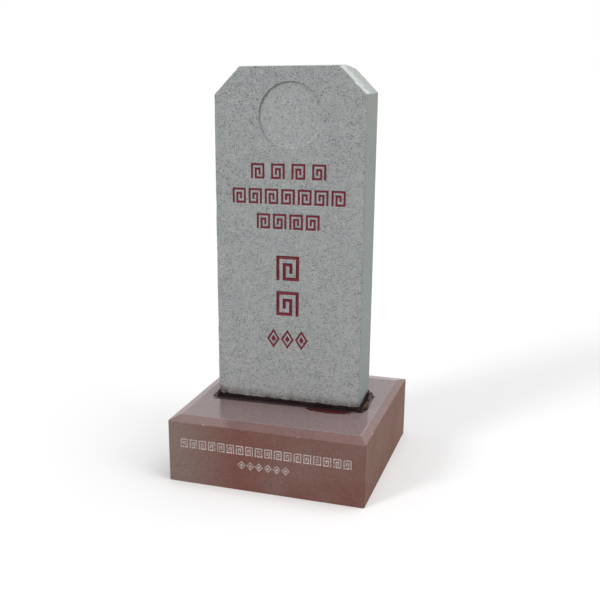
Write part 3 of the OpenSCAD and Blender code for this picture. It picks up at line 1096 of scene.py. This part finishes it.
def cornerCutter(side):
    half, deep, top = steleReach()
    cut = stele["cornerCut"]
    along, across, whole, depth = stele["cutNicks"]

    def lowering(co):
        past = max(0, abs(co.y) - (deep - stele["arris"]))  # the chamfer along both arrises
        spot = Vector((co.x * along, side * stele["cutSeed"], co.y * across))
        nicks = max(0, noise.noise(spot) - whole) * depth * (past > 0)
        return past * stele["cutChamfer"] + relief(co, stele["cutRelief"]) + nicks

    middle = Matrix.Translation((side * (half - cut / 2), 0, top - cut / 2))
    place = middle @ Matrix.Rotation(side * math.radians(45), 4, "Y")
    return uprightBlock(stele["cutTool"], stele["cutCell"], lowering, place)


def spallCutter():
    half, deep, top = steleReach()
    leanX, leanY = (math.radians(angle) for angle in stele["spallLean"])
    lean = Matrix.Rotation(leanY, 4, "Y") @ Matrix.Rotation(leanX, 4, "X")
    corner = Matrix.Translation((half - stele["cornerCut"], deep, top)) @ lean
    place = corner @ Matrix.Translation((0, 0, -stele["spallDepth"]))
    return uprightBlock(
        stele["spallTool"], stele["spallCell"],
        lambda co: relief(co, stele["spallRelief"]), place,
    )


def knockCutter(at, radius, seed):
    bm = bmesh.new()
    bmesh.ops.create_icosphere(bm, subdivisions=4, radius=radius)
    for vert in bm.verts:
        vert.co *= 1 + relief(vert.co.normalized(), stele["knockRelief"], seed)
    bmesh.ops.translate(bm, verts=bm.verts, vec=at)
    finishWith(bm.faces, knocked)
    return bm


def footKnocks():
    half, foot, count = stele["width"] / 2, stele["foot"], stele["knockCount"]
    spread = stele["knockSpread"]
    sizeTurn, sizeStart, placeTurn, stray = stele["knockTurns"]
    slant = math.sqrt(0.5)
    places = []
    for i in range(count):
        wave = math.sin(math.radians(sizeTurn * i + sizeStart))
        share = 1 - spread + spread * wave
        away = (stele["knockRadius"] - stele["knockBite"]) * share * slant
        along = (i + 0.5 + stray * math.sin(math.radians(placeTurn * i))) / count
        at = Vector((along * stele["width"] - half, steleFace - away, foot - away))
        places.append((at, stele["knockRadius"] * share))
    radius, bite = stele["cornerKnock"]
    away = (radius - bite) * slant
    for side in (-1, 1):
        places.append((Vector((side * (half + away), steleFace - away, foot)), radius))
    radius, bite, lift = stele["backKnock"]
    away = (radius - bite) * slant
    places.append((Vector((half + away, -steleFace + away, foot + lift)), radius))
    return places


def markFaces(bm):
    front = [f for f in bm.faces if f.normal.y < -0.6]
    top = [f for f in bm.faces if f.normal.y >= -0.6 and f.normal.z > 0.4]
    finishWith(bm.faces, sawn)
    finishWith(front, hammered)
    finishWith(top, upFacing)


def roundedBar(width, thickness, low, high, radius):
    bm = bmesh.new()
    size = Matrix.Diagonal((width, thickness, high - low, 1))
    place = Matrix.Translation((0, 0, (low + high) / 2))
    bmesh.ops.create_cube(bm, size=1, matrix=place @ size)
    upright = [e for e in bm.edges if abs(e.verts[0].co.z - e.verts[1].co.z) > 10 * mm]
    bmesh.ops.bevel(
        bm, geom=upright, offset=radius, offset_type="OFFSET", segments=8, profile=0.5,
        affect="EDGES", material=-1,
    )
    return bm


def panelCutter():
    radius, rings = stele["panelRadius"], stele["panelRings"]
    floor = steleFace + stele["panelDepth"]
    bm = bmesh.new()
    line = [bm.verts.new((radius * i / rings, floor, 0)) for i in range(rings + 1)]
    for outward, behind in stele["panelWall"]:
        line.append(bm.verts.new((radius + outward, steleFace + behind, 0)))
    line.append(bm.verts.new((0, line[-1].co.y, 0)))
    edges = [bm.edges.new(pair) for pair in zip(line, line[1:])]
    bmesh.ops.spin(
        bm, geom=line + edges, cent=(0, 0, 0), axis=(0, 1, 0), dvec=(0, 0, 0),
        angle=math.radians(360), steps=stele["panelSteps"], use_merge=True, use_duplicate=False,
    )
    bmesh.ops.remove_doubles(bm, verts=bm.verts, dist=0.01 * mm)
    bmesh.ops.dissolve_degenerate(bm, edges=bm.edges, dist=0.01 * mm)
    depth, waves = stele["panelRelief"]
    for vert in bm.verts:
        x, y, z = vert.co
        if abs(y - floor) < 0.01 * mm and math.hypot(x, z) < radius * stele["panelFlat"]:
            vert.co.y -= depth * unitNoise(Vector((x * waves, 2, z * waves)))
    x, z = stele["panelAt"]
    bmesh.ops.translate(bm, verts=bm.verts, vec=(x, 0, z))
    bmesh.ops.recalc_face_normals(bm, faces=bm.faces)
    finishWith(bm.faces, panelled)
    # the wall gets dirt and painted shade
    wall = [f for f in bm.faces if abs(f.normal.y) < 0.9]
    finishWith(wall, grimyShaded)
    return bm


# The grooves and the paint in them

film = {
    "front": 0.5 * mm,  # how far the paint thins at its rim
    "plinth": 0.4 * mm,
    "step": 6 * mm,
    "rimDepth": 0.35 * mm,  # the rim lies this far below the face
    "rimRagged": 0.25 * mm,
    "rimWaves": 210,  # per metre
    "cornerRoom": 1.6,  # no slice comes nearer to a corner than this many film widths
    "flareWaves": 160,
}


def islandsOf(bm):
    left = set(bm.verts)
    while left:
        stack = [left.pop()]
        found = list(stack)
        while stack:
            for edge in stack.pop().link_edges:
                for vert in edge.verts:
                    if vert in left:
                        left.discard(vert)
                        stack.append(vert)
                        found.append(vert)
        yield found


def grooveCutter(node, face, groove, finish):
    bm = mergedCopy(node)
    outside = face - groove["lip"]
    for island in islandsOf(bm):  # each film's front is drawn out past the stone's face
        floor = max(v.co.y for v in island)
        for vert in island:
            if vert.co.y < floor - 0.2 * mm:
                vert.co.y = outside
    bm.normal_update()
    grow(bm.verts, lambda v: groove["gap"])
    sliceEvenly(bm, groove["step"])
    bmesh.ops.bisect_plane(
        bm, geom=allOf(bm), dist=1e-7,
        plane_co=(0, face + groove["lip"], 0), plane_no=(0, 1, 0),
    )
    bm.normal_update()
    outer = [v for v in bm.verts if v.co.y < outside + 0.01 * mm]

    def flare(vert):
        return groove["flare"] * (0.75 + 0.5 * noise.noise(vert.co * film["flareWaves"]))

    grow(outer, flare)
    finishWith(bm.faces, finish)
    return bm


def paintFilm(name, node, face, faceRelief, thin, material):
    bm = mergedCopy(node)
    sliceEvenly(bm, film["step"], near=film["cornerRoom"] * thin)
    bm.normal_update()
    fronts = [f for f in bm.faces if f.normal.y < -0.5]
    bmesh.ops.inset_region(
        bm, faces=fronts, thickness=thin, depth=0, use_even_offset=True, use_boundary=True
    )
    bm.normal_update()
    for vert in bm.verts:
        sides = {f.normal.y < -0.5 for f in vert.link_faces}
        if sides == {True, False}:  # on the rim, between the front and a wall
            ragged = film["rimRagged"] * noise.noise(vert.co * film["rimWaves"])
            vert.co.y = face + faceRelief(vert.co.x, vert.co.z) + film["rimDepth"] + ragged
    made = newObject(name, bm, [material])
    smoothShade(made, 50)
    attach(made, "root")
    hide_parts(node)
    return made


def buildStele():
    bm = steleBlank()
    markFaces(bm)
    wearStele(bm)
    keepInside(bm)
    stone = newObject("steleStone", bm, stoneMaterials)
    width, thickness, length, radius = stele["tenon"]
    foot = stele["foot"]
    tenon = roundedBar(width, thickness, foot - length, foot + toolOverlap, radius)
    finishWith(tenon.faces, sawn)
    combine(stone, newObject("tenonTool", tenon, stoneMaterials), "UNION")
    tools = [panelCutter(), cornerCutter(-1), cornerCutter(1), spallCutter()]
    for number, (at, radius) in enumerate(footKnocks()):
        tools.append(knockCutter(at, radius, Vector((number * stele["knockSeed"], 0, 0))))
    tools.append(grooveCutter("front_paint", steleFace, stele["groove"], overrun))
    for tool in tools:
        combine(stone, newObject("stoneTool", tool, stoneMaterials))
    smoothShade(stone, 38)
    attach(stone, "root")
    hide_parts("stele")
    triangles = sum(len(p.vertices) - 2 for p in stone.data.polygons)
    print("stage: stele built,", triangles, "triangles")


# The plinth

plinth = {
    "width": 0.600,
    "depth": 0.600,
    "height": 0.200,
    "washFront": 0.048,
    "washSide": 0.026,
    "washDrop": 0.008,
    "corner": 0.003,
    "arris": 0.0009,
    "arrisSteps": 3,
    "cell": 0.05,
    "socket": (0.272, 0.092, 0.020),  # width, thickness and corner radius
    "socketFloor": 0.102,
    "groove": {"gap": 0.1 * mm, "lip": 0.5 * mm, "flare": 0.35 * mm, "step": 7 * mm},
    "chips": [  # place along the upper arris, size
        ((-0.187, -0.3), 0.0064), ((0.105, -0.3), 0.0060), ((-0.060, -0.3), 0.0028),
        ((0.236, -0.3), 0.0032), ((0.3, -0.212), 0.0064), ((0.3, -0.283), 0.0050),
        ((0.3, 0.060), 0.0035), ((-0.3, -0.150), 0.0042), ((-0.3, 0.110), 0.0034),
        ((-0.135, 0.3), 0.0040), ((0.175, 0.3), 0.0048),
    ],
    "chipRough": (0.35, 420),  # depth and waves per metre
    "chipSeed": 7.3,
    "chipStretch": (1.7, 0.8, 0.6),  # along the arris, across it, upright
    "chipBite": 0.45,
    "chipLift": 0.3,
}
plinthFace = -plinth["depth"] / 2


def plinthBlank():
    wide, deep, high = plinth["width"] / 2, plinth["depth"] / 2, plinth["height"]
    near = 0.001 * mm
    bm = bmesh.new()
    size = Matrix.Diagonal((2 * wide, 2 * deep, high, 1))
    bmesh.ops.create_cube(bm, size=1, matrix=Matrix.Translation((0, 0, high / 2)) @ size)
    flatX, flatY = wide - plinth["washSide"], deep - plinth["washFront"]
    for co, no in (
        ((flatX, 0, 0), (1, 0, 0)), ((-flatX, 0, 0), (1, 0, 0)),
        ((0, flatY, 0), (0, 1, 0)), ((0, -flatY, 0), (0, 1, 0)),
    ):
        bmesh.ops.bisect_plane(bm, geom=allOf(bm), dist=near, plane_co=co, plane_no=no)
    top = [v for v in bm.verts if v.co.z > high - 0.01 * mm]
    for vert in top:
        if abs(vert.co.x) > flatX + 0.1 * mm or abs(vert.co.y) > flatY + 0.1 * mm:
            vert.co.z -= plinth["washDrop"]
    corners = [(sx, sy) for sx in (-1, 1) for sy in (-1, 1)]

    def nearest(x, y):
        return min(top, key=lambda v: (v.co.xy - Vector((x, y))).length)

    for sx, sy in corners:  # the margins meet in a mitre
        ends = [nearest(sx * flatX, sy * flatY), nearest(sx * wide, sy * deep)]
        bmesh.ops.connect_verts(bm, verts=ends)
    for sx, sy in corners:
        bmesh.ops.bisect_plane(
            bm, geom=allOf(bm), dist=near, clear_outer=True,
            plane_co=(sx * (wide - plinth["corner"]), sy * deep, 0), plane_no=(sx, sy, 0),
        )
    bmesh.ops.holes_fill(bm, edges=[e for e in bm.edges if e.is_boundary], sides=0)
    bmesh.ops.recalc_face_normals(bm, faces=bm.faces)
    bmesh.ops.dissolve_limit(
        bm, angle_limit=math.radians(0.5), verts=bm.verts, edges=bm.edges
    )
    arrises = [  # all but those on the ground
        e for e in bm.edges
        if len(e.link_faces) == 2 and e.calc_face_angle() > math.radians(5)
        and max(v.co.z for v in e.verts) > 10 * mm
    ]
    bmesh.ops.bevel(
        bm, geom=arrises, offset=plinth["arris"], offset_type="OFFSET",
        segments=plinth["arrisSteps"], profile=0.5, affect="EDGES", material=-1,
    )
    for axis, (low, high) in enumerate(((-wide, wide), (-deep, deep), (0, high))):
        sliceAcross(bm, axis, low, high, plinth["cell"])
    finishWith(bm.faces, honed)
    finishWith([f for f in bm.faces if f.normal.z > 0.9], polished)
    return bm


def chipCutter(number, x, y, size):
    onFront = abs(y) > plinth["depth"] / 2 - mm
    onSide = abs(x) > plinth["width"] / 2 - mm
    rough, waves = plinth["chipRough"]
    along, across, upright = plinth["chipStretch"]
    bm = bmesh.new()
    bmesh.ops.create_icosphere(bm, subdivisions=3, radius=size)
    for vert in bm.verts:
        seed = Vector((number * plinth["chipSeed"], 0, 0))
        vert.co *= 1 + rough * noise.noise(vert.co * waves + seed)
        vert.co.x *= along if onFront else across
        vert.co.y *= along if onSide else across
        vert.co.z *= upright
    push = plinth["chipBite"] * size
    out = Vector((
        math.copysign(push if onSide else 0, x), math.copysign(push if onFront else 0, y),
        plinth["chipLift"] * size,
    ))
    at = Vector((x, y, plinth["height"] - plinth["washDrop"])) + out
    bmesh.ops.translate(bm, verts=bm.verts, vec=at)
    finishWith(bm.faces, broken)
    return bm


def buildPlinth():
    stone = newObject("plinthStone", plinthBlank(), plinthMaterials)
    width, thickness, radius = plinth["socket"]
    top = plinth["height"] + toolOverlap
    socket = roundedBar(width, thickness, plinth["socketFloor"], top, radius)
    finishWith(socket.faces, broken)
    tools = [socket, grooveCutter("plinth_paint", plinthFace, plinth["groove"], broken)]
    for number, ((x, y), size) in enumerate(plinth["chips"]):
        tools.append(chipCutter(number, x, y, size))
    for tool in tools:
        combine(stone, newObject("plinthTool", tool, plinthMaterials))
    smoothShade(stone, 30, trueFlats=True)
    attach(stone, "root")
    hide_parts("plinth")
    print("stage: plinth built")


# The mortar

mortar = {
    "voxel": 0.0022,
    "flatTop": 0.200,
    "lump": (0.0055, 52),  # depth and waves per metre, on the sides and behind
    "frontLump": 0.0022,
    "grit": (0.0012, 170),
    "rise": 0.004,  # the lumps are full this high above the plinth
    "leave": 0.003,  # and this far from the stone
    "sideTurn": 0.004,
    "rearFrom": 0.05,
    "free": 0.0005,
    "creviceReach": 0.0090,  # it has shrunk from the stone's sides by about this much
    "creviceDepth": 0.9,
    "creviceWaves": 24,
    "crest": (0.0125, 0.005, 70),  # distance from the stone, width, waves per metre
    "lumps": ((-0.040, 0.046, 0.0045), (0.048, 0.034, 0.0075)),  # middle, half length, height
    "pulled": 0.55,  # share by which it is drawn back to the stone between the lumps
    "pulledLumps": (0.16, 45),
    "frontWaves": (60, 20),
}


def moveMortar(vert):
    x, y, z = vert.co
    halfX, halfY, _ = steleReach()
    above = z - mortar["flatTop"]
    beside = abs(x) - halfX
    outside = max(beside, abs(y) - halfY)
    rise = shareOf(above, mortar["rise"]) * shareOf(outside, mortar["leave"])
    sideways = shareOf(beside, mortar["sideTurn"])
    front = mortar["frontLump"]
    lump, lumpWaves = mortar["lump"]
    grit, gritWaves = mortar["grit"]
    rough = front + (lump - front) * (sideways if y < mortar["rearFrom"] else 1)
    rugged = noise.noise(vert.co * lumpWaves) * rough + noise.noise(vert.co * gritWaves) * grit
    push = vert.normal * rugged * rise
    if above > mortar["free"] and beside > mortar["free"]:
        # a crevice beside the stone, and a few lumps on the crest beyond it
        sunk = max(0, 1 - beside / mortar["creviceReach"]) ** 0.5
        sunk *= shareOf(0.9 + 0.8 * noise.noise(vert.co * mortar["creviceWaves"]), 1)
        crestAt, crestWide, crestWaves = mortar["crest"]
        crest = math.exp(-((beside - crestAt) / crestWide) ** 2)
        lumpy = 0.0
        for middle, half, high in mortar["lumps"]:
            lumpy = max(lumpy, high * max(0, 1 - ((y - middle) / half) ** 2))
        raised = crest * lumpy * (0.7 + 0.6 * noise.noise(vert.co * crestWaves))
        push.z += (raised - mortar["creviceDepth"] * sunk * above) * sideways
        share, waves = mortar["pulledLumps"]
        if lumpy:
            pulled = beside * (share * (1 + noise.noise(vert.co * waves)))
        else:
            pulled = beside * mortar["pulled"]
        push.x -= math.copysign(pulled, x) * sideways
    if y < -halfY and beside < 0:  # in front it is scraped off nearly flush
        across, upright = mortar["frontWaves"]
        uneven = 0.75 + 0.5 * noise.noise(Vector((x * across, 4, z * upright)))
        push.y += (-halfY - y) * uneven
    return push


def buildMortar():
    bead = newObject("mortarBead", mergedCopy("mortar_joint"), [mortarMaterial])
    step = bead.modifiers.new("evenOut", "REMESH")
    step.mode, step.voxel_size = "VOXEL", mortar["voxel"]
    applyModifiers(bead)
    bead.data.materials.clear()
    bead.data.materials.append(mortarMaterial)
    bm = bmesh.new()
    bm.from_mesh(bead.data)
    bm.normal_update()
    flat = mortar["flatTop"]
    moves = [moveMortar(vert) for vert in bm.verts]
    for vert, move in zip(bm.verts, moves):
        onPlinth = vert.co.z >= flat
        vert.co += move
        if onPlinth:
            vert.co.z = max(vert.co.z, flat)
    bm.to_mesh(bead.data)
    bm.free()
    smoothShade(bead, 60)
    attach(bead, "root")
    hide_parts("mortar_joint")
    print("stage: mortar built")


# Studio

def backgroundRays(tree):  # the camera, mirrors and glass see the pale background itself
    path = addNode(tree, "ShaderNodeLightPath").outputs
    seen = plus(tree, path["Is Camera Ray"], path["Is Glossy Ray"])
    return maths(tree, "ADD", seen, path["Is Transmission Ray"], clamp=True)


def buildStudio(setup):
    bm = bmesh.new()
    bmesh.ops.create_grid(bm, x_segments=1, y_segments=1, size=setup["floorHalf"])
    material, tree, shader, _ = newMaterial("paleFloor", Roughness=0.9, Specular_IOR_Level=0.0)
    color = blendColor(tree, backgroundRays(tree), setup["floorBounce"], setup["floorSeen"])
    feed(tree, shader["Base Color"], color)
    newObject("floor", bm, [material])

    world = bpy.data.worlds.new("studioRoom")
    world.use_nodes = True
    bpy.context.scene.world = world
    tree = world.node_tree
    tree.nodes.clear()
    sky = addNode(tree, "ShaderNodeBackground")
    sky.inputs["Color"].default_value = (1, 1, 1, 1)
    output = addNode(tree, "ShaderNodeOutputWorld")
    tree.links.new(sky.outputs[0], output.inputs[0])
    seen = backgroundRays(tree)
    level = times(tree, minus(tree, 1.0, seen), setup["roomLevel"])
    feed(tree, sky.inputs["Strength"], plus(tree, level, seen))

    for name, (strength, softness, towards) in setup["lamps"].items():
        data = bpy.data.lights.new(name, "SUN")
        data.energy, data.angle = strength, math.radians(softness)
        lamp = bpy.data.objects.new(name, data)
        lamp.rotation_mode = "QUATERNION"
        lamp.rotation_quaternion = Vector(towards).to_track_quat("Z", "Y")
        lamp.location = Vector(towards) * setup["lampDistance"]
        bpy.context.scene.collection.objects.link(lamp)
    bpy.context.scene.view_settings.view_transform = "Standard"
    print("stage: studio set")


placeCamera(cameraSetup)
buildStudio(lightSetup)
buildStele()
buildPlinth()
buildMortar()
paintFilm(
    "frontPaint", "front_paint", steleFace, hammerDepth, film["front"], paint["redEnamel"],
)
paintFilm(
    "plinthPaint", "plinth_paint", plinthFace, lambda x, z: 0.0, film["plinth"],
    paint["paleEnamel"],
)
print("stage: paint laid")
